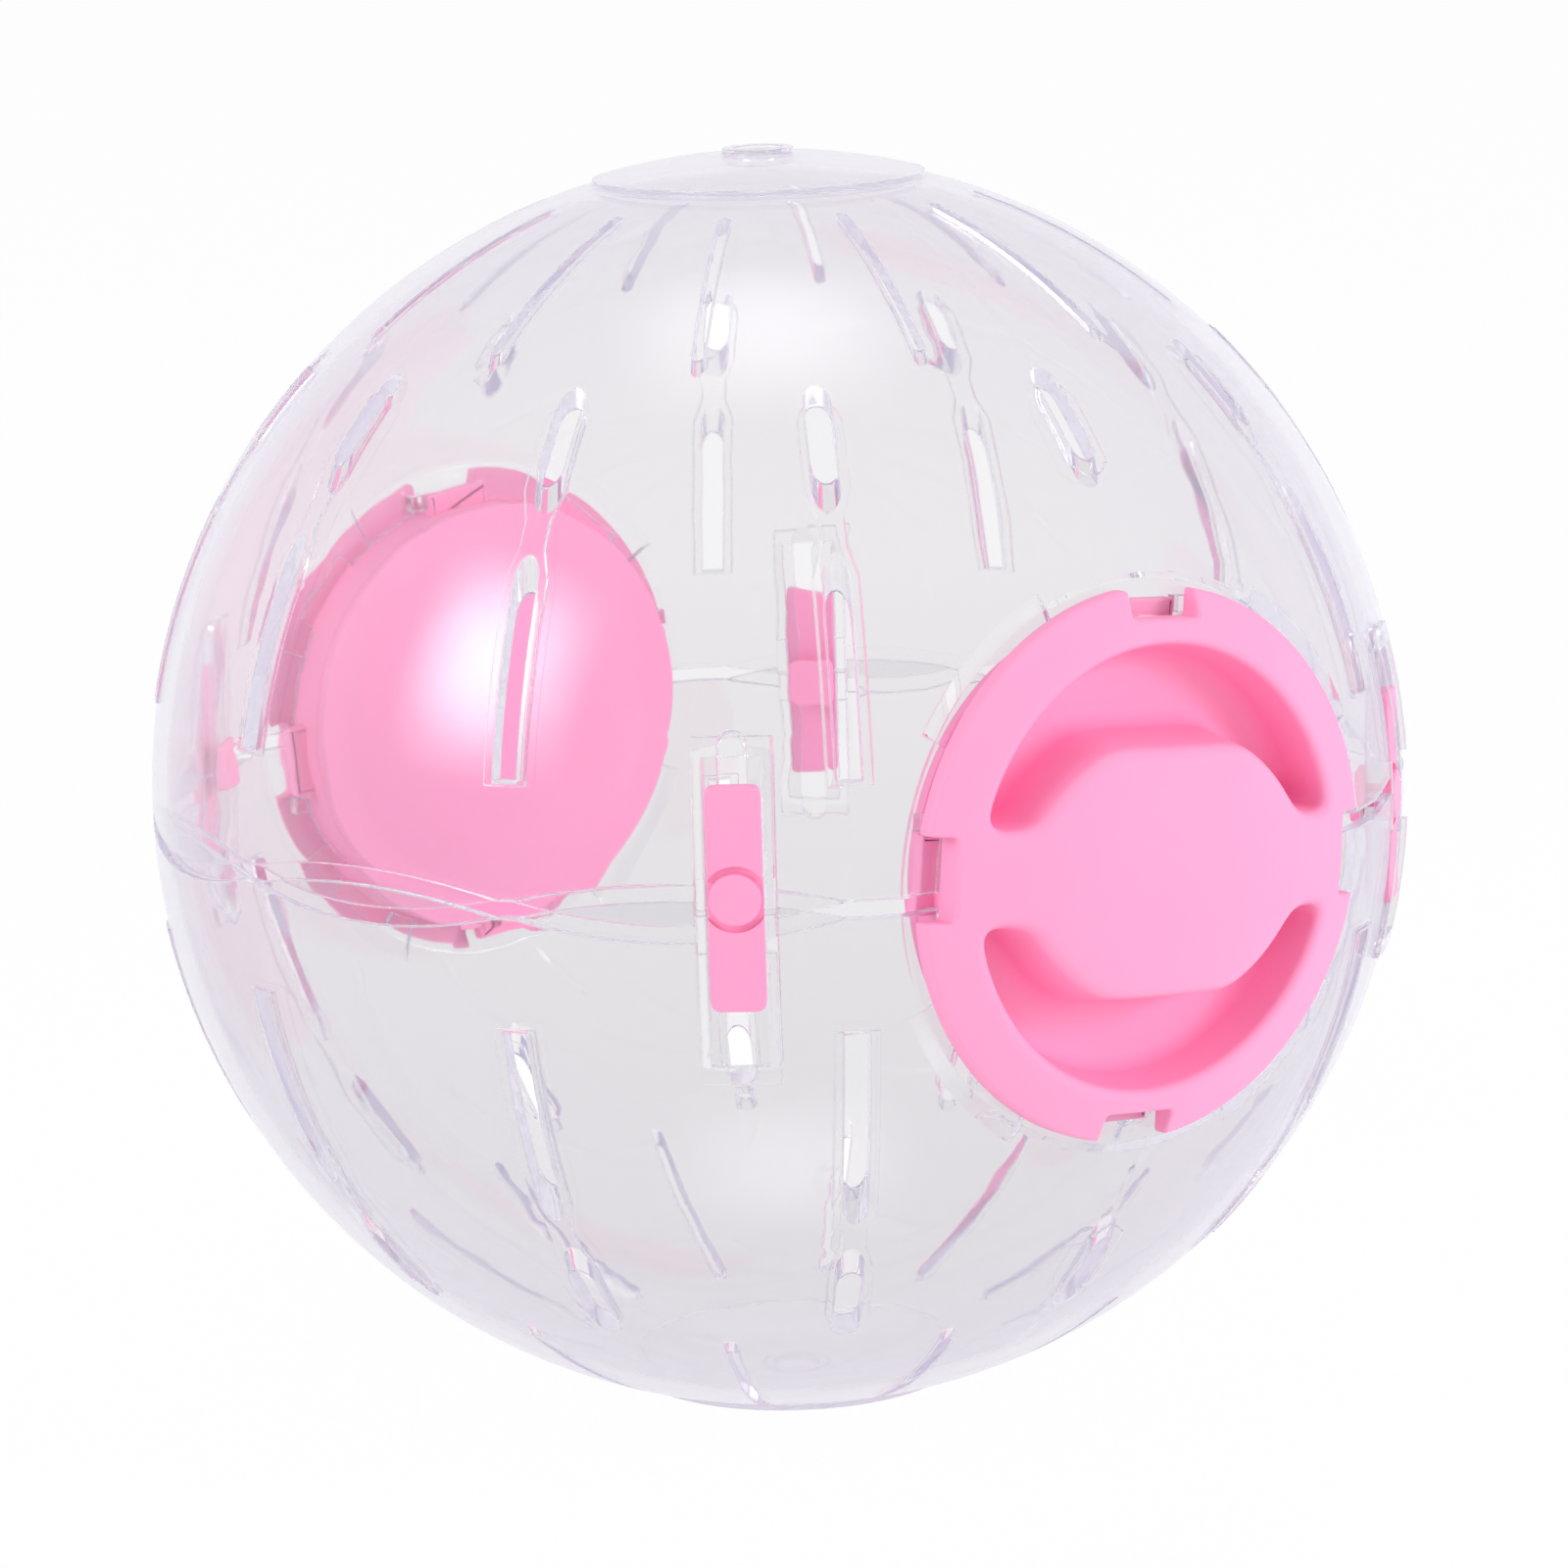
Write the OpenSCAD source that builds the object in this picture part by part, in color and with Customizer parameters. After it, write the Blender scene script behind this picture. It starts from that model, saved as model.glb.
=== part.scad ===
// Exercise ball for a small rodent: two clear half shells held by four sliding latches, with a
// turning bayonet door on each side. The origin is the centre of the ball. +Z runs through the
// poles, and the doors face +X and -X. The lower half is the upper half turned over about X.

/* [Ball] */
// Outer radius of the ball
ball_r = 70; // [68:0.5:73]
// Thickness of the clear wall
wall = 1.6; // [1.4:0.1:1.9]

/* [Poles] */
// Radius of the thickened disc at each pole
cap_r = 18.4; // [15:0.2:19.5]
// Height of the disc above the ball
cap_rise = 0.6; // [0.4:0.1:1]
// Radius of the nub in the middle of the disc
nub_r = 3.9; // [3.5:0.1:6]
// Height of the nub above the disc
nub_rise = 0.5; // [0.3:0.1:1]
// Radius of the blind dimple in the nub
dimple_r = 2.7; // [2:0.1:3]
// Depth of the dimple
dimple_depth = 0.9; // [0.6:0.1:1.2]

/* [Seam] */
// Half of the open gap between the two halves
seam_half = 0.9; // [0.7:0.05:1]
// Rise of one wave of the seam
wave_rise = 2.1; // [1.8:0.1:2.3]
// Gap between the lapped tongues of the two halves
lap_gap = 0.2; // [0.15:0.05:0.3]

/* [Air slots] */
// Width of the long slots
long_w = 2.7; // [2.3:0.1:3]
// Latitude where the long slots start
long_from = 10.8; // [10:0.2:13]
// Latitude where the long slots stop going through the wall
long_to = 27.3; // [24:0.3:28.2]
// Width of the short slots
short_w = 2.9; // [2.5:0.1:3.3]
// Latitude where the short slots start
short_from = 36.2; // [35:0.2:38]
// Latitude where the short slots end
short_to = 46.6; // [44:0.2:47]
// Width of the narrow slots around the poles
narrow_w = 1.3; // [1:0.1:1.8]
// Latitude where the narrow slots start
narrow_from = 49.7; // [48:0.1:52]
// Latitude where the narrow slots end
narrow_to = 70.1; // [66:0.1:71]
// Height of the raised frame around the long and short slots
frame_rise = 0.3; // [0.2:0.05:0.5]
// Width of the raised frame beside a long slot
frame_side = 1; // [0.8:0.1:1.1]
// Width of the raised frame between the long and the short slot
neck_w = 2.8; // [2:0.1:3]

/* [Doors] */
// Radius of a door's rim
door_r = 29.3; // [29:0.1:29.8]
// Width of the open ring of shell around a door's rim
seat_margin = 1.4; // [1:0.1:1.8]
// Height of a door's face above the ball
door_rise = 1; // [0.6:0.1:1.5]
// Thickness of a door's walls
door_wall = 1.6; // [1.4:0.1:1.8]
// Radius of a door's skirt
skirt_r = 25.5; // [25.2:0.1:25.8]
// Depth of the skirt behind the seat
skirt_depth = 5.4; // [5:0.1:6]
// Radius of the finger recess
recess_r = 23.4; // [22.8:0.1:23.6]
// Depth of the finger recess below the top of the face
recess_depth = 11; // [9.5:0.1:11.2]
// Half of the grip's height
grip_half = 13.2; // [12:0.2:14]
// Half of the height of the bars that join the grip to the rim
bar_half = 5; // [4.4:0.1:5.6]
// Thickness of the lip that holds a door
lip_t = 1.4; // [1.2:0.1:1.6]
// Width of the notches in a door's rim
notch_w = 8.85; // [8.2:0.05:9.6]
// Width of a bayonet lug
lug_w = 8.4; // [7.6:0.2:9]
// Reach of a bayonet lug beyond the skirt
lug_reach = 2.2; // [2:0.1:2.8]
// Thickness of a bayonet lug
lug_t = 1.45; // [1.2:0.05:1.6]
// Height of the dome on the back of a door
dome_h = 5.5; // [4:0.1:6]
// Angle of the closed door from level, as it stands in the picture
door_twist = 5.5; // [0:0.5:7]

/* [Latches] */
// Angle from the doors' axis to a latch
latch_angle = 40; // [39:0.5:41]
// Width of a latch's sliding bar
slider_w = 5.7; // [5.3:0.1:6]
// Length of the sliding bar
slider_len = 23.5; // [22:0.1:24]
// Thickness of the sliding bar
slider_t = 1.5; // [1.3:0.1:1.7]
// Length of the channel on each side of the seam
channel_len = 16.1; // [15.5:0.1:16.5]
// Depth of the channel below the outside of the ball
channel_depth = 2.15; // [2:0.05:2.3]
// Thickness of the channel's floor
floor_t = 1.55; // [1.4:0.05:1.7]
// Width of the wall beside the channel
channel_side = 1.1; // [0.9:0.1:1.3]
// Height of the channel's frame above the ball
rail_rise = 0.7; // [0.5:0.05:0.9]
// Diameter of the pin's head
head_d = 5.4; // [5:0.1:5.4]
// Diameter of the pin's shank
shank_d = 2.6; // [2.2:0.1:2.8]
// Height of the slider's middle above the seam, latch by latch
latch_rest = [1.5, -0.5, -1, 0.8]; // [-3:0.1:3]

/* [Hidden] */

clear_tint = [0.9, 0.88, 0.96, 0.4];
pink = [1, 0.62, 0.79];

// Overrun of the cuts
over = 1;
// Clearance of parts that slide or turn on each other
run_gap = 0.15;
// Clearance of the pin in the slider and in the retainer
pin_gap = 0.05;

// Derived sizes of the ball
inner_r = ball_r - wall;
lap_r = ball_r - wall / 2;
big = 2 * ball_r;
cap_top = ball_r + cap_rise;
nub_top = cap_top + nub_rise;

// Groups of slots stand every 30 degrees, and the narrow slots halfway between them
group_step = 30;
frame_half = long_w / 2 + frame_side;
slot_low = ball_r * sin(long_from);
frame_low = slot_low - frame_side / 3;

// Each half wave of the seam spans 30 degrees, less a little at its ends
wave_span = 30;
wave_half_len = inner_r * sin(0.96 * wave_span / 2);
wave_arc_r = (wave_half_len * wave_half_len + wave_rise * wave_rise) / (2 * wave_rise);
outer_tongues = [-105, -45, 75, 135];
inner_tongues = [-135, -75, 45, 105];
trim_drop = 0.3;
halves_gap = 0.1;

// Distances from the ball's centre along a door's axis
seat_r = door_r + seat_margin;
seat_x = sqrt(ball_r * ball_r - seat_r * seat_r);
face_r = ball_r + door_rise;
flange_x = seat_x + run_gap;
lug_gap = 0.25;
lug_front = seat_x - lip_t - lug_gap;
skirt_end = seat_x - skirt_depth;
recess_floor = face_r - recess_depth;
floor_back = recess_floor - door_wall;
skirt_gap = 0.4;
lip_in = skirt_r + skirt_gap;
skirt_in = skirt_r - door_wall;
notch_in = skirt_r + skirt_gap + 2 * pin_gap;
lug_tip = skirt_r + lug_reach;
lug_side_gap = 0.3;
door_turn = 45;
pocket_depth = lip_t / 2;
pocket_half_angle = 18;
stop_w = 1.8;
grip_arc_r = 20.6;
grip_arc_down = 5.6;
dome_wall = 1.4;
plug_t = 1.8;

// Distances from the ball's centre along a latch's axis
channel_floor = ball_r - channel_depth;
block_in = channel_floor - floor_t;
slider_in = channel_floor + run_gap;
slider_out = slider_in + slider_t;
head_seat_depth = 0.5;
head_seat = slider_out - head_seat_depth;
head_out = slider_out + head_seat_depth;
head_seat_gap = 0.75;
head_seat_r = head_d / 2 + head_seat_gap;
channel_half = slider_w / 2 + run_gap;
block_half = channel_half + channel_side;
track_half = shank_d / 2 + run_gap;
track_len = channel_len + track_half * 1.5;
block_len = track_len + over;
rail_from = 3.9;
retainer_gap = 0.2;
retainer_t = 1.1;
retainer_out = block_in - retainer_gap;
retainer_in = retainer_out - retainer_t;
retainer_half_w = slider_w / 2 - run_gap;
retainer_half_len = slider_w / 2;
corner_r = 1;

// Turns local axes so that X is level to the right, Y is up and Z points out of the ball
module facing(angle) {
    rotate([90, 0, 90 + angle]) children();
}

module ball(r) {
    sphere(r = r, $fn = 180);
}

module rod(r, low, high) {
    translate([0, 0, low]) cylinder(r = r, h = high - low, $fn = 96);
}

// A box of half width w from y0 to y1 and from z0 to z1
module block(w, y0, y1, z0, z1) {
    translate([-w, y0, z0]) cube([2 * w, y1 - y0, z1 - z0]);
}

module above(z) {
    translate([-big, -big, z]) cube([2 * big, 2 * big, big]);
}

// A slot seen from above, square at neither end, pulled straight up
module plan_slot(angle, w, near, far) {
    rotate([0, 0, angle]) translate([0, 0, slot_low]) linear_extrude(big) {
        translate([near + w / 2, -w / 2]) square([far - near - w, w]);
        translate([near + w / 2, 0]) circle(d = w, $fn = 48);
        translate([far - w / 2, 0]) circle(d = w, $fn = 48);
    }
}

// One half wave of the seam. A drop carries the lens down past the edge that it trims.
module wave_lens(angle, drop = 0) {
    facing(angle) translate([0, seam_half, inner_r - 8 * wall]) linear_extrude(12 * wall)
        intersection() {
            translate([0, wave_rise - wave_arc_r]) circle(r = wave_arc_r, $fn = 360);
            translate([0, wave_arc_r - wave_rise - drop]) circle(r = wave_arc_r, $fn = 360);
        }
}

// The upper half of the clear wall with its lapped, wavy edge
module lapped_wall() {
    difference() {
        intersection() {
            difference() {
                ball(ball_r);
                ball(inner_r);
            }
            union() {
                above(seam_half);
                for (angle = concat(outer_tongues, inner_tongues)) wave_lens(angle);
            }
        }
        for (angle = outer_tongues) intersection() {
            wave_lens(angle, trim_drop);
            ball(lap_r + lap_gap / 2);
        }
        for (angle = inner_tongues) difference() {
            wave_lens(angle, trim_drop);
            ball(lap_r - lap_gap / 2);
        }
    }
}

// The lip, stops and seat for one door, before the seam is cut through them
module door_lip() {
    lip_r = seat_r - run_gap;
    difference() {
        rod(lip_r, seat_x - lip_t, seat_x);
        rod(lip_in, seat_x - lip_t - over, seat_x + over);
    }
    stop_from = lug_w / 2 + lug_side_gap;
    for (k = [0 : 3]) rotate([0, 0, 90 * k - door_twist])
        translate([lip_in + run_gap, -stop_from - stop_w, lug_front - lug_t])
            cube([lug_tip - lip_in, stop_w, seat_x - lug_front + lug_t - lip_t / 2]);
}

// The gaps that let the lugs through, and the shallow pockets around them
module door_lip_cuts() {
    gap_half = lug_w / 2 + lug_side_gap;
    far = seat_r + 4 * seat_margin;
    for (k = [0 : 3]) rotate([0, 0, 90 * k - door_twist + door_turn]) {
        translate([lip_in - over, -gap_half, seat_x - lip_t - over])
            cube([lug_tip + lug_side_gap - lip_in + over, 2 * gap_half, lip_t + 2 * over]);
        translate([0, 0, seat_x - pocket_depth]) linear_extrude(big) polygon([
            [0, 0],
            [far, -far * tan(pocket_half_angle)],
            [far, far * tan(pocket_half_angle)]
        ]);
    }
}

// The half of a latch's channel that the upper half shell carries
module latch_block() {
    intersection() {
        block(block_half, halves_gap / 2, block_len, block_in, ball_r + over);
        ball(ball_r);
    }
    intersection() {
        block(block_half, rail_from, channel_len + 2 * over, block_in, ball_r + 2 * over);
        ball(ball_r + rail_rise);
    }
}

module latch_block_cuts() {
    block(channel_half, -over, channel_len, channel_floor, ball_r + 2 * over);
    block(track_half, -over, track_len - track_half, block_in - over, channel_floor + run_gap);
    translate([0, track_len - track_half, 0])
        rod(track_half, block_in - over, channel_floor + run_gap);
}

// The raised frame around a short slot, and around the long slot below it where there is one
module slot_frame(angle, with_long) {
    shoulder = ball_r * sin(long_to) + frame_side;
    hip = ball_r * sin(short_from);
    top = ball_r * sin(short_to) - 1.6 * frame_half;
    neck_end = hip - neck_w;
    difference() {
        intersection() {
            ball(ball_r + frame_rise);
            facing(angle) translate([0, 0, ball_r / 2]) linear_extrude(big) {
                translate([0, top]) circle(r = frame_half, $fn = 48);
                translate([-frame_half, hip]) square([2 * frame_half, top - hip]);
                if (with_long) polygon([
                    [-frame_half, frame_low], [frame_half, frame_low], [frame_half, shoulder],
                    [neck_w / 2, shoulder + neck_w], [neck_w / 2, neck_end], [frame_half, hip],
                    [-frame_half, hip], [-neck_w / 2, neck_end], [-neck_w / 2, shoulder + neck_w],
                    [-frame_half, shoulder]
                ]);
                else translate([0, hip + frame_half - frame_side])
                    circle(r = frame_half, $fn = 48);
            }
        }
        ball(lap_r);
    }
}

module half_shell() {
    color(clear_tint) difference() {
        union() {
            difference() {
                union() {
                    lapped_wall();
                    difference() {
                        intersection() {
                            ball(cap_top);
                            rod(cap_r, 0, big);
                        }
                        ball(lap_r);
                    }
                    rod(nub_r, lap_r, nub_top);
                    for (angle = [0 : group_step : 359]) slot_frame(angle, angle % 180 != 0);
                }
                for (angle = [0, 180]) facing(angle)
                    translate([0, 0, seat_x + big]) cube(2 * big, center = true);
                for (side = [-1, 1], end = [0, 180]) facing(end + side * latch_angle)
                    block(block_half + run_gap, -big, halves_gap / 2, block_in, ball_r + over);
            }
            intersection() {
                above(seam_half);
                for (angle = [0, 180]) facing(angle) door_lip();
            }
            for (side = [-1, 1], end = [0, 180]) facing(end + side * latch_angle) latch_block();
        }
        for (side = [-1, 1], end = [0, 180]) facing(end + side * latch_angle) latch_block_cuts();
        for (angle = [0, 180]) facing(angle) door_lip_cuts();
        for (angle = [0 : group_step : 359]) {
            plan_slot(angle, short_w, ball_r * cos(short_to), ball_r * cos(short_from));
            plan_slot(angle + group_step / 2, narrow_w, ball_r * cos(narrow_to),
                ball_r * cos(narrow_from));
            if (angle % 180 != 0) plan_slot(angle, long_w, inner_r * cos(long_to), big);
        }
        rod(dimple_r, nub_top - dimple_depth, nub_top + over);
    }
}

module upper_shell() {
    half_shell();
}

module lower_shell() {
    rotate([180, 0, 0]) half_shell();
}

// The outline of a door's grip and its two bars, drawn in by an inset
module grip_outline(inset) {
    intersection() {
        translate([0, -grip_arc_down]) circle(r = grip_arc_r - inset, $fn = 180);
        translate([0, grip_arc_down]) circle(r = grip_arc_r - inset, $fn = 180);
        square([2 * skirt_r, 2 * (grip_half - inset)], center = true);
    }
    square([2 * skirt_r, 2 * (bar_half - inset)], center = true);
}

module door_face(angle) {
    color(pink) facing(angle) rotate([0, 0, -door_twist]) difference() {
        union() {
            intersection() {
                ball(face_r);
                rod(door_r, flange_x, big);
            }
            rod(skirt_r, skirt_end, flange_x + run_gap);
            for (k = [0 : 3]) rotate([0, 0, 90 * k])
                translate([skirt_in + run_gap, -lug_w / 2, lug_front - lug_t])
                    cube([lug_tip - skirt_in - run_gap, lug_w, lug_t]);
        }
        translate([0, 0, recess_floor]) linear_extrude(big) difference() {
            circle(r = recess_r, $fn = 180);
            grip_outline(0);
        }
        rod(skirt_in, skirt_end - over, floor_back);
        intersection() {
            ball(face_r - door_wall);
            translate([0, 0, floor_back - over]) linear_extrude(big) intersection() {
                grip_outline(door_wall);
                circle(r = recess_r - run_gap, $fn = 180);
            }
        }
        for (k = [0 : 3]) rotate([0, 0, 90 * k])
            translate([notch_in, -notch_w / 2, flange_x - over]) cube([door_r, notch_w, big]);
    }
}

module door_back(angle) {
    dome_r = (skirt_r * skirt_r + dome_h * dome_h) / (2 * dome_h);
    dome_z = skirt_end - dome_h + dome_r;
    color(pink) facing(angle) rotate([0, 0, -door_twist]) {
        difference() {
            intersection() {
                translate([0, 0, dome_z]) sphere(r = dome_r, $fn = 360);
                rod(skirt_r - run_gap, skirt_end - 2 * dome_h, skirt_end);
            }
            translate([0, 0, dome_z]) sphere(r = dome_r - dome_wall, $fn = 360);
        }
        difference() {
            union() {
                rod(skirt_r, skirt_end - dome_wall, skirt_end);
                rod(skirt_in - pin_gap, skirt_end - pin_gap, floor_back - run_gap);
            }
            rod(skirt_in - plug_t, skirt_end - 2 * dome_wall, floor_back + over);
        }
    }
}

module latch_slider(angle, rest) {
    half_w = slider_w / 2 - corner_r;
    half_len = slider_len / 2 - corner_r;
    color(pink) facing(angle) translate([0, rest, 0]) difference() {
        translate([0, 0, slider_in]) linear_extrude(slider_t) {
            square([2 * half_w, slider_len], center = true);
            square([slider_w, 2 * half_len], center = true);
            for (x = [-half_w, half_w], y = [-half_len, half_len])
                translate([x, y]) circle(r = corner_r, $fn = 32);
        }
        rod(head_seat_r, head_seat, head_out + over);
        rod(shank_d / 2 + pin_gap, slider_in - over, head_out);
    }
}

module latch_pin(angle, rest) {
    color(pink) facing(angle) translate([0, rest, 0]) {
        rod(head_d / 2, head_seat, head_out);
        rod(shank_d / 2, retainer_in - pin_gap, head_seat + pin_gap);
    }
}

module latch_retainer(angle, rest) {
    color(pink) facing(angle) translate([0, rest, 0]) difference() {
        block(retainer_half_w, -retainer_half_len, retainer_half_len, retainer_in, retainer_out);
        rod(shank_d / 2 + pin_gap, retainer_in - over, retainer_out + over);
    }
}

upper_shell();
lower_shell();
door_face(0);  // front_door_face
door_back(0);  // front_door_back
door_face(180);  // back_door_face
door_back(180);  // back_door_back
latch_slider(-latch_angle, latch_rest[0]);  // front_left_slider
latch_pin(-latch_angle, latch_rest[0]);  // front_left_pin
latch_retainer(-latch_angle, latch_rest[0]);  // front_left_retainer
latch_slider(latch_angle, latch_rest[1]);  // front_right_slider
latch_pin(latch_angle, latch_rest[1]);  // front_right_pin
latch_retainer(latch_angle, latch_rest[1]);  // front_right_retainer
latch_slider(180 - latch_angle, latch_rest[2]);  // back_right_slider
latch_pin(180 - latch_angle, latch_rest[2]);  // back_right_pin
latch_retainer(180 - latch_angle, latch_rest[2]);  // back_right_retainer
latch_slider(180 + latch_angle, latch_rest[3]);  // back_left_slider
latch_pin(180 + latch_angle, latch_rest[3]);  // back_left_pin
latch_retainer(180 + latch_angle, latch_rest[3]);  // back_left_retainer
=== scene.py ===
import math

import bmesh
import bpy
import numpy as np
from mathutils import Matrix, Vector
from mathutils.geometry import delaunay_2d_cdt


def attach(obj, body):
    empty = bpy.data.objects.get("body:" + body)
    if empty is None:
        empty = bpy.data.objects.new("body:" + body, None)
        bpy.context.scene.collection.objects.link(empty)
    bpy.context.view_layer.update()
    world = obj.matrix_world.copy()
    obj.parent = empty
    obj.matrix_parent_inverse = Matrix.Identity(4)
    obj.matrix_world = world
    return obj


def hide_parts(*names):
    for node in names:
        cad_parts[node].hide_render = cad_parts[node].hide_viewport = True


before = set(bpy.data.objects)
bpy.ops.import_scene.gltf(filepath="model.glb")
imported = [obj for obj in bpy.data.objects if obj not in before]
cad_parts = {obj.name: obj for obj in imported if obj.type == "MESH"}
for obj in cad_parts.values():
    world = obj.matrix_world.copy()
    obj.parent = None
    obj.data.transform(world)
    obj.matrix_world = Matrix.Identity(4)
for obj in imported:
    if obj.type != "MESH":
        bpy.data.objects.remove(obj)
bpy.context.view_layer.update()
mm = 0.001
white = (1, 1, 1, 1)
print("frame loaded")

# The settings of every piece are in millimetres and degrees. The camera stands where the
# photograph was taken from, and sees things between the two depths of its reach.
camera = {
    "around": -36.08,
    "rise": 11.27,
    "distance": 700,
    "roll": 1.86,
    "lens": 143,
    "sensor": 36,
    "picture": 1600,
    "centrePixel": (793.9, 795.35),
    "reach": (10, 50000),
}


def outwards(around, rise):
    around, rise = math.radians(around), math.radians(rise)
    level = math.cos(rise)
    return Vector((level * math.cos(around), level * math.sin(around), math.sin(rise)))


def makeCamera(s):
    outward = outwards(s["around"], s["rise"])
    data = bpy.data.cameras.new("camera")
    data.lens, data.sensor_width = s["lens"], s["sensor"]
    half = s["picture"] / 2
    data.shift_x = (half - s["centrePixel"][0]) / s["picture"]
    data.shift_y = (s["centrePixel"][1] - half) / s["picture"]
    data.clip_start, data.clip_end = (depth * mm for depth in s["reach"])
    made = bpy.data.objects.new("camera", data)
    bpy.context.scene.collection.objects.link(made)
    roll = Matrix.Rotation(math.radians(-s["roll"]), 3, "Z")
    made.rotation_euler = (outward.to_track_quat("Z", "Y").to_matrix() @ roll).to_euler()
    made.location = outward * s["distance"] * mm
    bpy.context.scene.camera = made


makeCamera(camera)
print("camera placed")


# A shader socket that Python's signs work on: each sign adds one Math node.
class Sock:
    def __init__(self, shader, socket):
        self.shader, self.socket = shader, socket

    def maths(self, operation, first, second):
        return self.shader.maths(operation, first, second)

    def __add__(self, other):
        return self.maths("ADD", self, other)

    def __radd__(self, other):
        return self.maths("ADD", other, self)

    def __sub__(self, other):
        return self.maths("SUBTRACT", self, other)

    def __rsub__(self, other):
        return self.maths("SUBTRACT", other, self)

    def __mul__(self, other):
        return self.maths("MULTIPLY", self, other)

    def __rmul__(self, other):
        return self.maths("MULTIPLY", other, self)

    def __pow__(self, other):
        return self.maths("POWER", self, other)

    def most(self, other):
        return self.maths("MAXIMUM", self, other)


class Shader:
    def __init__(self, name, world=False):
        self.holder = bpy.data.worlds.new(name) if world else bpy.data.materials.new(name)
        self.holder.use_nodes = True
        self.tree = self.holder.node_tree
        self.tree.nodes.clear()
        self.end = self.tree.nodes.new("ShaderNodeOutput" + ("World" if world else "Material"))

    def node(self, kind, settings, sockets, out=0):
        made = self.tree.nodes.new("ShaderNode" + kind)
        for key, value in settings.items():
            setattr(made, key, value)
        for key, value in sockets.items():
            if isinstance(value, Sock):
                self.tree.links.new(value.socket, made.inputs[key])
            else:
                made.inputs[key].default_value = value
        return Sock(self, made.outputs[out])

    def finish(self, surface):
        self.tree.links.new(surface.socket, self.end.inputs["Surface"])
        return self.holder

    def maths(self, operation, first, second):
        return self.node("Math", {"operation": operation}, {0: first, 1: second})

    def mixShaders(self, share, first, second):
        return self.node("MixShader", {}, {0: share, 1: first, 2: second})

    # Inputs 6 and 7 and output 2 are the Mix node's colours.
    def mixColours(self, share, first, second):
        return self.node("Mix", {"data_type": "RGBA"}, {0: share, 6: first, 7: second}, 2)

    def path(self, name):
        return self.node("LightPath", {}, {}, name)

    # 1 on what the camera sees straight, in a reflection or through glass
    def seen(self):
        straight, mirrored = self.path("Is Camera Ray"), self.path("Is Glossy Ray")
        return straight.most(mirrored).most(self.path("Is Transmission Ray"))

    def axes(self, place):
        return [self.node("SeparateXYZ", {}, {0: place}, name) for name in ("X", "Y")]

    # Noise in the object's own place, with features of a size in millimetres
    def noise(self, size, detail):
        place = self.node("TexCoord", {}, {}, "Object")
        sockets = {"Vector": place, "Scale": 1 / (size * mm), "Detail": detail}
        return self.node("TexNoise", {}, sockets)

    def bump(self, height, depth, normal=None):
        sockets = {"Height": height, "Distance": depth * mm}
        if normal:
            sockets["Normal"] = normal
        return self.node("Bump", {}, sockets)

    # Normals that turn over softly at the edges, as moulded edges do
    def softEdges(self, radius, samples=4):
        return self.node("Bevel", {"samples": samples}, {"Radius": radius * mm})

    def seeThrough(self, colour):
        return self.node("BsdfTransparent", {}, {"Color": colour})


class LampShader(Shader):
    def __init__(self, data):
        self.holder, self.tree = data, data.node_tree
        self.tree.nodes.clear()
        self.end = self.tree.nodes.new("ShaderNodeOutputLight")


clearPlastic = {
    "tint": (0.915, 0.905, 0.92, 1),
    "bend": 1.5,
    "rough": 0.02,
    "edgeRound": 0.3,
    "edgeTint": (0.7, 0.66, 0.78, 1),
    "edgeRough": 0.3,
    "edgeBlend": 0.5,
    "edgePower": 2.7,
    "edgeShare": 0.58,
    "mostMirrored": 2.5,
    "trappedShare": (0.82, 0.8, 0.88, 1),
    "lampShare": (0.97, 0.965, 0.98, 1),
    "rippleSize": 9,
    "rippleDetail": 1,
    "rippleDepth": 0.03,
}
pinkPlastic = {
    "colour": (1, 0.355, 0.595, 1),
    "deeper": (1, 0.33, 0.565, 1),
    "bend": 1.5,
    "rough": 0.42,
    "roughChange": 0.1,
    "cloudSize": 14,
    "cloudDetail": 3,
    "grainSize": 0.4,
    "grainDetail": 4,
    "grainDepth": 0.006,
}


# Glass that hazes over where it is seen on edge. Light that is still mirrored inside the wall
# after two turns leaves it, and light from the lamps and from matt things goes straight through.
def clearMaterial(s):
    shader = Shader("clearPlastic")
    soft = shader.softEdges(s["edgeRound"])
    waves = shader.noise(s["rippleSize"], s["rippleDetail"])
    ripple = shader.bump(waves, s["rippleDepth"], soft)
    glass = shader.node("BsdfPrincipled", {}, {
        "Base Color": s["tint"], "Roughness": s["rough"], "IOR": s["bend"],
        "Transmission Weight": 1, "Normal": ripple,
    })
    haze = shader.node("BsdfPrincipled", {}, {
        "Base Color": s["edgeTint"], "Roughness": s["edgeRough"], "Normal": ripple,
    })
    sockets = {"Blend": s["edgeBlend"], "Normal": soft}
    slant = shader.node("LayerWeight", {}, sockets, "Facing")
    edged = shader.mixShaders(slant ** s["edgePower"] * s["edgeShare"], glass, haze)
    trapped = shader.maths("GREATER_THAN", shader.path("Glossy Depth"), s["mostMirrored"])
    shell = shader.mixShaders(trapped, edged, shader.seeThrough(s["trappedShare"]))
    straight = shader.path("Is Shadow Ray").most(shader.path("Is Diffuse Ray"))
    return shader.finish(shader.mixShaders(straight, shell, shader.seeThrough(s["lampShare"])))


def pinkMaterial(s):
    shader = Shader("pinkPlastic")
    cloud = shader.noise(s["cloudSize"], s["cloudDetail"])
    colour = shader.mixColours(cloud, s["colour"], s["deeper"])
    grain = shader.bump(shader.noise(s["grainSize"], s["grainDetail"]), s["grainDepth"])
    return shader.finish(shader.node("BsdfPrincipled", {}, {
        "Base Color": colour, "Roughness": cloud * s["roughChange"] + s["rough"],
        "IOR": s["bend"], "Normal": grain,
    }))


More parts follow.
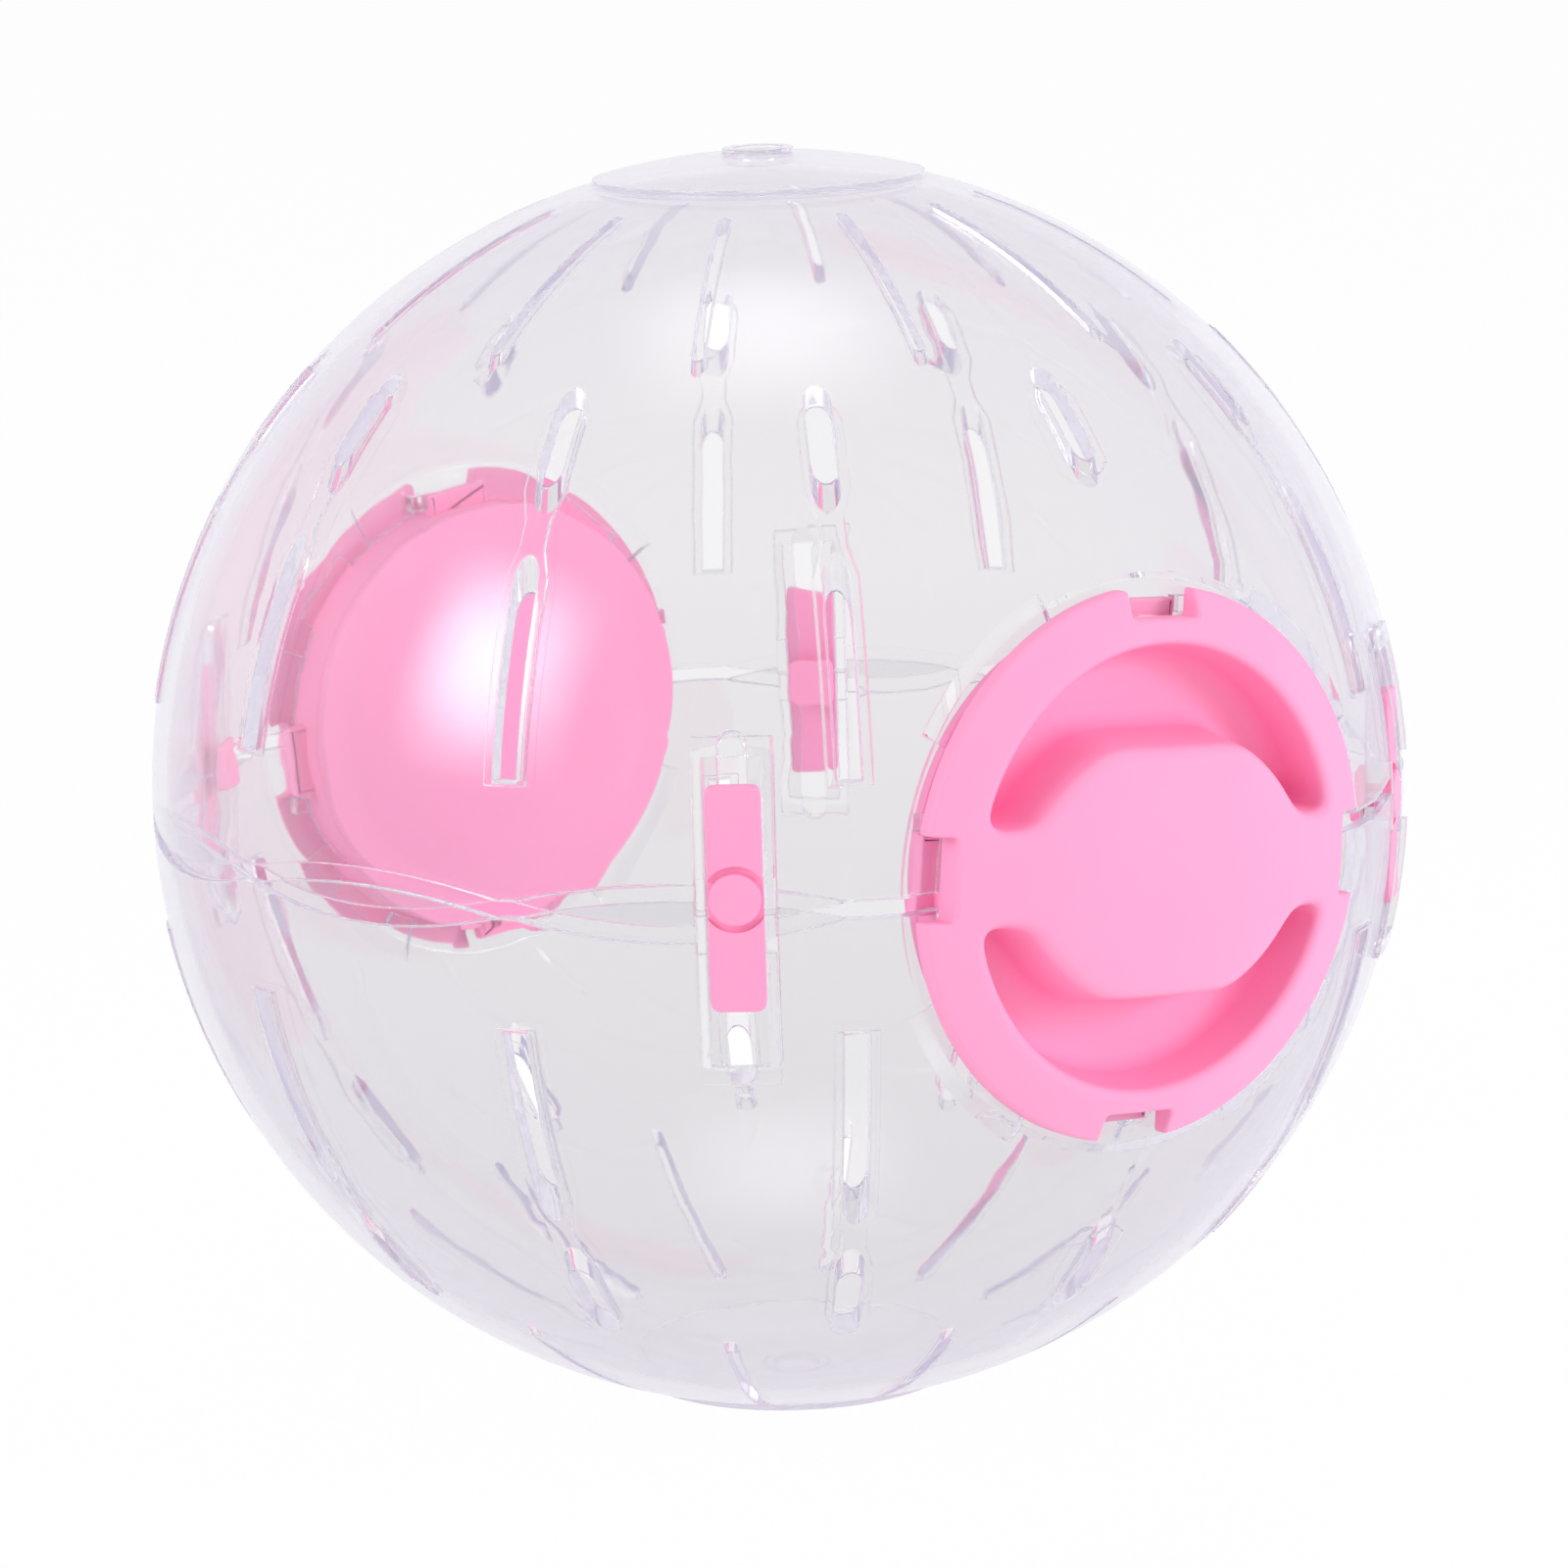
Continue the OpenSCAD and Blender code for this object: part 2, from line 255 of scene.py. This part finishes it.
clear = clearMaterial(clearPlastic)
pink = pinkMaterial(pinkPlastic)
for name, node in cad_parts.items():
    node.data.materials.clear()
    node.data.materials.append(clear if name.endswith("shell") else pink)
print("materials made")


# Turns local millimetres, with Z out of the ball and Y up, into metres in the frame.
def facing(angle, turn=0, rise=0):
    turned = math.radians(angle)
    across, out = math.sin(turned), math.cos(turned)
    axes = Matrix(((-across, 0, out), (out, 0, across), (0, 1, 0))).to_4x4()
    lift = Matrix.Translation((0, rise, 0)) @ Matrix.Rotation(math.radians(turn), 4, "Z")
    return Matrix.Scale(mm, 4) @ axes @ lift


# How all meshes are made: points round a circle, rings on a plate's edge, the angle of a sharp
# edge, the distance in metres at which points merge, the least distance ahead at which another
# side counts, the distance at which triangles share a point, and the share of the free space
# that an edge may move into.
meshing = {
    "round": 180,
    "plateSteps": 4,
    "sharpAngle": 35,
    "mergeWithin": 1e-6,
    "ahead": 1e-6,
    "shareWithin": 1e-7,
    "roomShare": 0.85,
}


# A mesh that is put together from loops of points, strips between loops, and filled faces
class Builder:
    def __init__(self):
        self.points, self.faces = [], []

    def loop(self, outline, heights):
        start = len(self.points)
        heights = np.broadcast_to(heights, len(outline))
        self.points += [(float(x), float(y), float(z)) for (x, y), z in zip(outline, heights)]
        return list(range(start, len(self.points)))

    # Four-sided faces between two loops, or three-sided ones where a loop is a single point
    def strip(self, first, second):
        count = len(first)
        for i in range(count):
            j = (i + 1) % count
            around = dict.fromkeys((first[i], first[j], second[j], second[i]))
            self.faces.append(tuple(around))

    def strips(self, loops):
        for first, second in zip(loops, loops[1:]):
            self.strip(first, second)

    # Rows of (radius, height) turned about the local Z axis, with a tip where the radius is 0
    def lathe(self, profile, count=meshing["round"]):
        rings = []
        for radius, height in profile:
            if radius == 0:
                rings.append(self.loop([(0, 0)], height) * count)
            else:
                rings.append(self.loop(circle(radius, count), height))
        self.strips(rings)

    # Triangles inside the outer loop and outside the holes, at a height that depends on the place
    def fill(self, outer, holes, height, spacing):
        loops = [outer] + holes
        ids = [i for one in loops for i in one]
        rings = [np.array([self.points[i][:2] for i in one]) for one in loops]
        edges, start = [], 0
        for one in loops:
            count = len(one)
            edges += [(start + k, start + (k + 1) % count) for k in range(count)]
            start += count
        grid = staggeredGrid(rings[0], spacing)
        grid = grid[within(grid, rings) & (clearance(grid, rings) > spacing / 2)]
        flat = [Vector(p) for p in np.vstack(rings + [grid])]
        verts, _, faces, origins, _, _ = delaunay_2d_cdt(flat, edges, [], 0, meshing["shareWithin"])
        numbers = []
        for vert, origin in zip(verts, origins):
            old = [o for o in origin if o < len(ids)]
            if old:
                numbers.append(ids[old[0]])
            else:
                self.points.append((vert.x, vert.y, float(height(vert.x, vert.y))))
                numbers.append(len(self.points) - 1)
        centres = np.array([sum((verts[i] for i in face), Vector((0, 0))) / 3 for face in faces])
        for face, good in zip(faces, within(centres, rings)):
            if good:
                self.faces.append(tuple(numbers[i] for i in face))

    # A plate with rounded edges, between two heights
    def plate(self, outline, low, high, edge):
        normals = inward(outline)
        ends = roundedEnd(edge, meshing["plateSteps"])
        rows = [(out, low + drop) for out, drop in ends]
        rows += [(out, high - drop) for out, drop in ends[::-1]]
        loops = [self.loop(outline + normals * out, height) for out, height in rows]
        self.strips(loops)
        self.faces += [tuple(loops[0]), tuple(loops[-1])]

    def make(self, name, matrix, material):
        data = bpy.data.meshes.new(name)
        data.from_pydata([tuple(matrix @ Vector(p)) for p in self.points], [], self.faces)
        mesh = bmesh.new()
        mesh.from_mesh(data)
        bmesh.ops.remove_doubles(mesh, verts=mesh.verts, dist=meshing["mergeWithin"])
        bmesh.ops.recalc_face_normals(mesh, faces=mesh.faces)
        mesh.to_mesh(data)
        mesh.free()
        smoothFaces(data)
        data.materials.append(material)
        made = bpy.data.objects.new(name, data)
        bpy.context.scene.collection.objects.link(made)
        return made


def smoothFaces(data):
    data.shade_smooth()
    data.set_sharp_from_angle(angle=math.radians(meshing["sharpAngle"]))


# Takes one piece's space out of another and drops the cutter.
def cutAway(piece, cutter):
    cut = piece.modifiers.new("cut", "BOOLEAN")
    cut.operation, cut.solver, cut.object = "DIFFERENCE", "EXACT", cutter
    graph = bpy.context.evaluated_depsgraph_get()
    data = bpy.data.meshes.new_from_object(piece.evaluated_get(graph))
    piece.modifiers.clear()
    piece.data = data
    bpy.data.objects.remove(cutter)
    smoothFaces(data)


def circle(radius, count=meshing["round"]):
    turns = np.arange(count) * 2 * math.pi / count
    return np.c_[np.cos(turns), np.sin(turns)] * radius


# Points over the box of an outline, with every other row shifted by half of a step
def staggeredGrid(outline, spacing):
    (lowX, lowY), (highX, highY) = outline.min(0), outline.max(0)
    rows = enumerate(np.arange(lowY + spacing / 2, highY, spacing))
    shift = spacing / 4
    return np.array([
        (x + shift * (-1) ** n, y) for n, y in rows
        for x in np.arange(lowX + spacing / 2, highX, spacing)
    ])


# True for points inside the first ring and outside the others
def within(points, rings):
    x, y = points[:, 0][:, None], points[:, 1][:, None]
    crossings = np.zeros(len(points), int)
    for ring in rings:
        after = np.roll(ring, -1, axis=0)
        crosses = (ring[:, 1] > y) != (after[:, 1] > y)
        rise = after[:, 1] - ring[:, 1]
        rise[rise == 0] = 1
        at = (after[:, 0] - ring[:, 0]) * (y - ring[:, 1]) / rise + ring[:, 0]
        crossings += (crosses & (x < at)).sum(axis=1)
    return crossings % 2 == 1


def clearance(points, rings):
    ring = np.vstack(rings)
    return np.array([np.hypot(ring[:, 0] - x, ring[:, 1] - y).min() for x, y in points])


# Spreads points evenly along a closed outline and rounds its corners over a length.
def smoothOutline(corners, step, soft):
    closed = np.array(list(corners) + [corners[0]], float)
    along = np.r_[0, np.cumsum(np.hypot(*np.diff(closed, axis=0).T))]
    count = int(round(along[-1] / step))
    places = np.arange(count) * along[-1] / count
    even = np.c_[np.interp(places, along, closed[:, 0]), np.interp(places, along, closed[:, 1])]
    waves = np.fft.fftfreq(count, along[-1] / count)
    keep = np.exp(-2 * (math.pi * waves * soft) ** 2)[:, None]
    return np.fft.ifft(np.fft.fft(even, axis=0) * keep, axis=0).real


# The unit normals, pointing inwards, of an outline that runs anticlockwise
def inward(ring):
    along = np.roll(ring, -1, axis=0) - np.roll(ring, 1, axis=0)
    along /= np.hypot(along[:, 0], along[:, 1])[:, None]
    return np.c_[-along[:, 1], along[:, 0]]


# The share of a distance inwards that each point of an outline can go before the outline
# meets another side of itself
def inwardShare(ring, normals, distance):
    gaps = ring[None] - ring[:, None]
    ahead = np.einsum("ijk,ik->ij", gaps, normals)
    reach = (gaps ** 2).sum(axis=2) / np.maximum(2 * ahead, meshing["ahead"])
    reach[ahead < meshing["ahead"]] = math.inf
    return np.minimum(1, meshing["roomShare"] * reach.min(axis=1) / distance)[:, None]


# Rows of (distance in, drop) along a quarter round
def quarter(radius, steps):
    turns = np.linspace(0, math.pi / 2, steps + 1)
    return [(radius * (1 - math.sin(t)), radius * (1 - math.cos(t))) for t in turns]


# The same from a flat face, whose outline lies further in
def roundedEnd(radius, steps):
    return [(2 * radius, 0)] + quarter(radius, steps)


quarterTurns = [k * math.pi / 2 for k in range(4)]


def spun(points, turn):
    c, q = math.cos(turn), math.sin(turn)
    return np.array(points) @ np.array([(c, q), (-q, c)])


def arc(centreY, radius, start, end, count):
    turns = np.linspace(start, end, count)
    return [(radius * math.cos(t), centreY + radius * math.sin(t)) for t in turns]


def roundedBox(x0, x1, y0, y1, soft, step=0.2):
    corners = [(x0, y0), (x1, y0), (x1, y1), (x0, y1)]
    return smoothOutline(corners, step, soft)


doorFace = {
    "ball": 71,
    "rim": 29.3,
    "rimEdge": 0.45,
    "rimSteps": 5,
    "rimPoints": 60,
    "rimUnder": 63.057,
    "notchIn": 26,
    "notchWide": 8.85,
    "notchSoft": 0.35,
    "recess": 23.4,
    "recessPoints": 90,
    "recessFloor": 60,
    "recessEdge": 1.5,
    "recessSteps": 6,
    "recessFoot": 2.4,
    "footSteps": 8,
    "recessDraft": 0.9,
    "recessSoft": 1.6,
    "gripArc": 20.6,
    "gripArcDown": 5.6,
    "gripHalf": 13.2,
    "gripPoints": 20,
    "barHalf": 5,
    "skirt": 25.5,
    "skirtIn": 23.9,
    "skirtEnd": 57.507,
    "skirtEdge": 0.3,
    "back": 58.4,
    "lugFrom": 24.05,
    "lugTip": 27.7,
    "lugWide": 8.4,
    "lugFront": 61.257,
    "lugThick": 1.45,
    "lugEdge": 0.3,
    "twist": -5.5,
    "step": 0.35,
    "spacing": 1.2,
}


# The upper finger recess lies between the rim's inner arc and the grip, which has a wide round
# middle and a narrow bar on each side.
def recessOutline(s):
    ring, grip, down = s["recess"], s["gripArc"], s["gripArcDown"]
    corner = math.asin(s["barHalf"] / s["recess"])
    low = math.asin((s["barHalf"] + down) / grip)
    high = math.asin((s["gripHalf"] + down) / grip)
    corners = arc(0, ring, corner, math.pi - corner, s["recessPoints"])
    corners += arc(-down, grip, math.pi - low, math.pi - high, s["gripPoints"])
    corners += arc(-down, grip, high, low, s["gripPoints"])
    return smoothOutline(corners, s["step"], s["recessSoft"])


def rimOutline(s):
    half = s["notchWide"] / 2
    side = math.asin(half / s["rim"])
    corners = []
    for turn in quarterTurns:
        notch = spun([(s["notchIn"], -half), (s["notchIn"], half)], turn)
        corners += [tuple(p) for p in notch]
        corners += arc(0, s["rim"], turn + side, turn + math.pi / 2 - side, s["rimPoints"])
    return smoothOutline(corners, s["step"], s["notchSoft"])


# Adds the rim's rounded edge and side, and returns its upper and lower loops.
def addRim(builder, s, top):
    rim = rimOutline(s)
    normals = inward(rim)
    share = inwardShare(rim, normals, s["rimEdge"])
    loops = []
    for out, drop in quarter(s["rimEdge"], s["rimSteps"]):
        ring = rim + normals * share * out
        loops.append(builder.loop(ring, top(*ring.T) - drop))
    loops.append(builder.loop(rim, s["rimUnder"]))
    builder.strips(loops)
    return loops[0], loops[-1]


# Adds a finger recess with a rounded mouth and foot, and returns the loop of its mouth.
def addRecess(builder, s, outline, top):
    normals = inward(outline)
    share = inwardShare(outline, normals, s["recessDraft"] + s["recessFoot"])
    walls = []
    for out, drop in quarter(s["recessEdge"], s["recessSteps"]):
        ring = outline - normals * out
        walls.append(builder.loop(ring, top(*ring.T) - drop))
    for out, drop in quarter(s["recessFoot"], s["footSteps"]):
        ring = outline + normals * share * (s["recessDraft"] + drop)
        walls.append(builder.loop(ring, s["recessFloor"] + out))
    builder.strips(walls)
    builder.fill(walls[-1], [], lambda x, y: s["recessFloor"], s["spacing"])
    return walls[0]


def addSkirt(builder, s, under):
    skirt = builder.loop(circle(s["skirt"]), s["rimUnder"])
    builder.fill(under, [skirt], lambda x, y: s["rimUnder"], s["spacing"])
    rows = [
        (s["skirt"], s["skirtEnd"] + s["skirtEdge"]), (s["skirt"] - s["skirtEdge"], s["skirtEnd"]),
        (s["skirtIn"], s["skirtEnd"]), (s["skirtIn"], s["back"]),
    ]
    inner = [skirt] + [builder.loop(circle(r), height) for r, height in rows]
    builder.strips(inner)
    builder.faces.append(tuple(inner[-1]))


def addLugs(builder, s):
    half = s["lugWide"] / 2
    lug = roundedBox(s["lugFrom"], s["lugTip"], -half, half, s["lugEdge"])
    for turn in quarterTurns:
        low, high = s["lugFront"] - s["lugThick"], s["lugFront"]
        builder.plate(spun(lug, turn), low, high, s["lugEdge"])


def doorShape(s):
    builder = Builder()

    def top(x, y):
        return np.sqrt(s["ball"] ** 2 - x ** 2 - y ** 2)

    edge, under = addRim(builder, s, top)
    upper = recessOutline(s)
    mouths = [addRecess(builder, s, outline, top) for outline in (upper, -upper)]
    builder.fill(edge, mouths, top, s["spacing"])
    addSkirt(builder, s, under)
    addLugs(builder, s)
    return builder


doorCover = {
    "ring": 25.5,
    "ringFrom": 56.107,
    "ringTo": 57.507,
    "ringEdge": 0.35,
    "ringSteps": 4,
    "ringIn": 22.1,
    "domeRadius": 61.861,
    "domeMiddle": 113.868,
    "domeRings": 26,
    "wall": 1.4,
}


def coverShape(s):
    builder = Builder()

    def dome(radius, reach):
        radii = np.linspace(0, reach, s["domeRings"])
        return [(r, s["domeMiddle"] - math.sqrt(radius ** 2 - r ** 2)) for r in radii]

    outerReach = math.sqrt(s["domeRadius"] ** 2 - (s["domeMiddle"] - s["ringFrom"]) ** 2)
    ends = quarter(s["ringEdge"], s["ringSteps"])
    profile = dome(s["domeRadius"], outerReach)
    profile += [(s["ring"] - out, s["ringFrom"] + drop) for out, drop in ends]
    profile += [(s["ring"] - out, s["ringTo"] - drop) for out, drop in ends[::-1]]
    profile.append((s["ringIn"], s["ringTo"]))
    profile += dome(s["domeRadius"] - s["wall"], s["ringIn"] - s["wall"])[::-1]
    builder.lathe(profile)
    return builder


for angle, name in ((0, "front_door"), (180, "back_door")):
    place = facing(angle, doorFace["twist"])
    for shape, node in ((doorShape(doorFace), "face"), (coverShape(doorCover), "back")):
        piece = shape.make(name + "_" + node + "_piece", place, pink)
        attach(piece, name)
        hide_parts(name + "_" + node)
print("doors made")


latch = {
    "bar": (5.7, 23.5),
    "barIn": 68,
    "barOut": 69.5,
    "corner": 0.7,
    "edge": 0.3,
    "headSeat": 69,
    "headSeatRadius": 3.45,
    "head": 2.7,
    "headOut": 70,
    "headEdge": 0.3,
    "headSteps": 5,
    "shank": 1.3,
    "shankGap": 0.05,
    "round": 96,
    "cutPast": 1,
    "retainer": (5.4, 5.7),
    "retainerIn": 65,
    "retainerOut": 66.1,
    "rest": {"front_left": (-40, 1.5), "front_right": (40, -0.5),
             "back_right": (140, -1), "back_left": (220, 0.8)},
}


def latchPlate(s, name, place, kind):
    wide, long = (side / 2 for side in s[kind])
    plate = Builder()
    outline = roundedBox(-wide, wide, -long, long, s["corner"])
    plate.plate(outline, s[kind + "In"], s[kind + "Out"], s["edge"])
    return plate.make(name, place, pink)


def latchRetainer(s, name, place):
    return latchPlate(s, name, place, "retainer")


# The sliding bar, with a stepped hole for the pin's shank and head
def latchBar(s, name, place):
    piece = latchPlate(s, name, place, "bar")
    hole, seat = s["shank"] + s["shankGap"], s["headSeatRadius"]
    under, over = s["barIn"] - s["cutPast"], s["barOut"] + s["cutPast"]
    cutter = Builder()
    cutter.lathe([(0, under), (hole, under), (hole, s["headSeat"]), (seat, s["headSeat"]),
                  (seat, over), (0, over)], s["round"])
    cutAway(piece, cutter.make("cutter", place, pink))
    return piece


def latchPin(s, name, place):
    foot = s["retainerIn"] - s["shankGap"]
    profile = [(0, foot), (s["shank"], foot), (s["shank"], s["headSeat"]), (s["head"], s["headSeat"])]
    ends = roundedEnd(s["headEdge"], s["headSteps"])
    profile += [(s["head"] - out, s["headOut"] - drop) for out, drop in ends[::-1]]
    profile.append((0, s["headOut"]))
    pin = Builder()
    pin.lathe(profile, s["round"])
    return pin.make(name, place, pink)


for name, (angle, rise) in latch["rest"].items():
    place = facing(angle, 0, rise)
    for node, make in (("slider", latchBar), ("pin", latchPin), ("retainer", latchRetainer)):
        piece = make(latch, name + "_" + node + "_piece", place)
        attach(piece, name + "_latch")
        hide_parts(name + "_" + node)
print("latches made")


# The floor's glow is the share of white in what the camera sees of it. Through the clear wall
# it has a painted pale grey shadow around the ball, fading out to the shade's reach.
studio = {
    "air": (0.97, 0.98, 1, 1),
    "airLevel": 0.67,
    "floorHeight": -71.1,
    "floorHalf": 4000,
    "floorGlow": 0.95,
    "paper": (0.97, 0.97, 0.97, 1),
    "paperSize": 60,
    "paperDetail": 2,
    "shade": (0.845, 0.845, 0.85, 1),
    "shadeReach": 600,
    "lamps": {
        "side": {"around": 36, "rise": 14, "distance": 900, "size": (500, 500), "power": 13,
                 "mirrored": False},
        "overhead": {"around": 144, "rise": 84, "distance": 1000, "size": (800, 800),
                     "power": 3.2, "mirrored": True},
        "left": {"around": -92, "rise": 26, "distance": 900, "size": (640, 640), "power": 10,
                 "mirrored": True},
    },
}


def makeWorld(s):
    shader = Shader("studioAir", world=True)
    air = shader.node("Background", {}, {"Color": s["air"], "Strength": s["airLevel"]})
    backdrop = shader.node("Background", {}, {"Color": white, "Strength": 1})
    bpy.context.scene.world = shader.finish(shader.mixShaders(shader.seen(), air, backdrop))


def makeFloor(s):
    shader = Shader("paleFloor")
    paper = shader.noise(s["paperSize"], s["paperDetail"])
    matt = shader.node("BsdfDiffuse", {}, {"Color": shader.mixColours(paper, s["paper"], white)})
    glow = shader.node("Emission", {}, {"Color": white, "Strength": 1})
    # Painted shadow: a grey glow that the floor shows near the ball, only through the clear wall
    shade = shader.node("Emission", {}, {"Color": s["shade"], "Strength": 1})
    x, y = shader.axes(shader.node("TexCoord", {}, {}, "Object"))
    near = (1 - (x * x + y * y) ** 0.5 * (1 / (s["shadeReach"] * mm))).most(0)
    pale = shader.mixShaders(shader.path("Is Transmission Ray") * near, glow, shade)
    material = shader.finish(shader.mixShaders(shader.seen() * s["floorGlow"], matt, pale))
    half = s["floorHalf"]
    floor = Builder()
    corners = [(-half, -half), (half, -half), (half, half), (-half, half)]
    floor.faces.append(tuple(floor.loop(corners, s["floorHeight"])))
    floor.make("floor", Matrix.Scale(mm, 4), material)


# A softbox is brightest in its middle and fades out to its edges.
def softLamp(data):
    data.use_nodes = True
    shader = LampShader(data)
    fade = 1
    for part in shader.axes(shader.node("NewGeometry", {}, {}, "Parametric")):
        fade = fade * (part * 4 * (1 - part))
    shader.finish(shader.node("Emission", {}, {"Strength": fade * fade}))


def makeLamps(s):
    for name, lamp in s["lamps"].items():
        data = bpy.data.lights.new(name, "AREA")
        data.shape = "RECTANGLE"
        data.size, data.size_y = (side * mm for side in lamp["size"])
        data.energy = lamp["power"]
        softLamp(data)
        made = bpy.data.objects.new(name, data)
        made.visible_glossy = lamp["mirrored"]
        bpy.context.scene.collection.objects.link(made)
        outward = outwards(lamp["around"], lamp["rise"])
        made.rotation_euler = outward.to_track_quat("Z", "Y").to_euler()
        made.location = outward * lamp["distance"] * mm


makeWorld(studio)
makeFloor(studio)
makeLamps(studio)
bpy.context.scene.view_settings.view_transform = "Standard"
print("studio lit")
